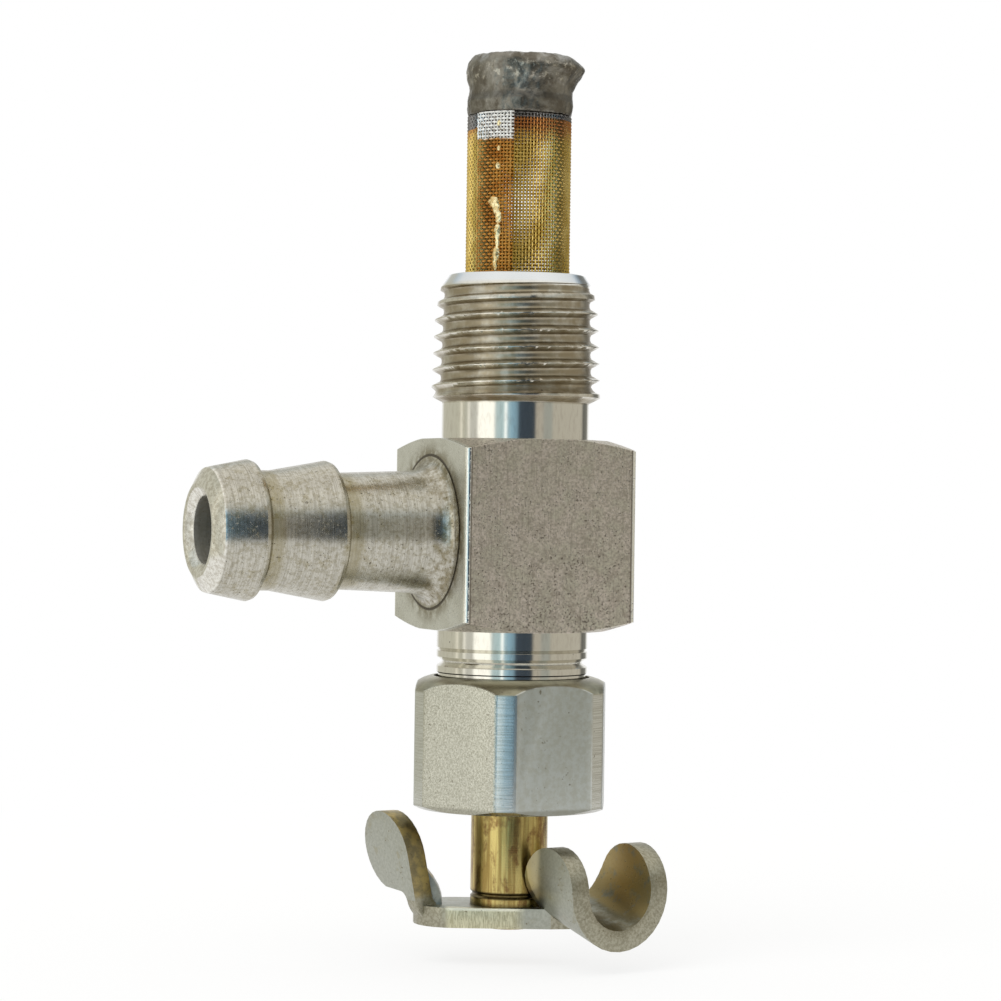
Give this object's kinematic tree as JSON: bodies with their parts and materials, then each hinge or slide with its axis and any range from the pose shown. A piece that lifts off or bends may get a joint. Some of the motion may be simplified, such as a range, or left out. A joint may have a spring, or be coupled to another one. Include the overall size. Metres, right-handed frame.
{
  "type": "fuel tap",
  "caption": "Angle fuel tap: taper-threaded inlet with gauze strainer, barbed hose tail at a right angle, screw-down spindle with gland and wing handle.",
  "frame": {"origin": "centre of the inlet stem's end face, which the strainer stands out of", "axes": "+Z out of the inlet along the strainer, -X along the hose tail"},
  "size_m": [0.0369, 0.0179, 0.072],
  "materials": {
    "nickel_body": "worn nickel plate on brass, darkly pitted",
    "nickel_tail": "stained nickel plate on brass, finely turned",
    "nickel_nut": "bright nickel plate on brass",
    "nickel_handle": "dull nickel plate on pressed brass sheet",
    "brass": "bare brass, tarnished golden olive",
    "gauze": "fine woven brass wire",
    "solder": "lumpy dark grey solder",
    "packing": "greased packing cord"
  },
  "bodies": {
    "tap_body": {"valve_body": "nickel_body", "hose_tail": "nickel_tail", "strainer_gauze": "gauze", "strainer_cap": "solder", "gland_nut": "nickel_nut", "gland_follower": "brass", "packing_washer": "brass", "gland_packing_1": "packing", "gland_packing_2": "packing", "gland_packing_3": "packing"},
    "cone": {"valve_cone": "brass"},
    "spindle": {"spindle": "brass", "wing_handle": "nickel_handle"}
  },
  "joints": [
    {"name": "spindle_lift", "type": "slide", "parent": "tap_body", "child": "cone", "axis": [0, 0, -1], "range_m": [0, 0.0015]},
    {"name": "handle_turn", "type": "hinge", "parent": "cone", "child": "spindle", "pos_m": [0, 0, -0.05], "axis": [0, 0, -1], "range_deg": [0, 540]}
  ],
  "couplings": [
    {"joint": "spindle_lift", "follows": "handle_turn", "m_per_rad": 0.00015915}
  ]
}
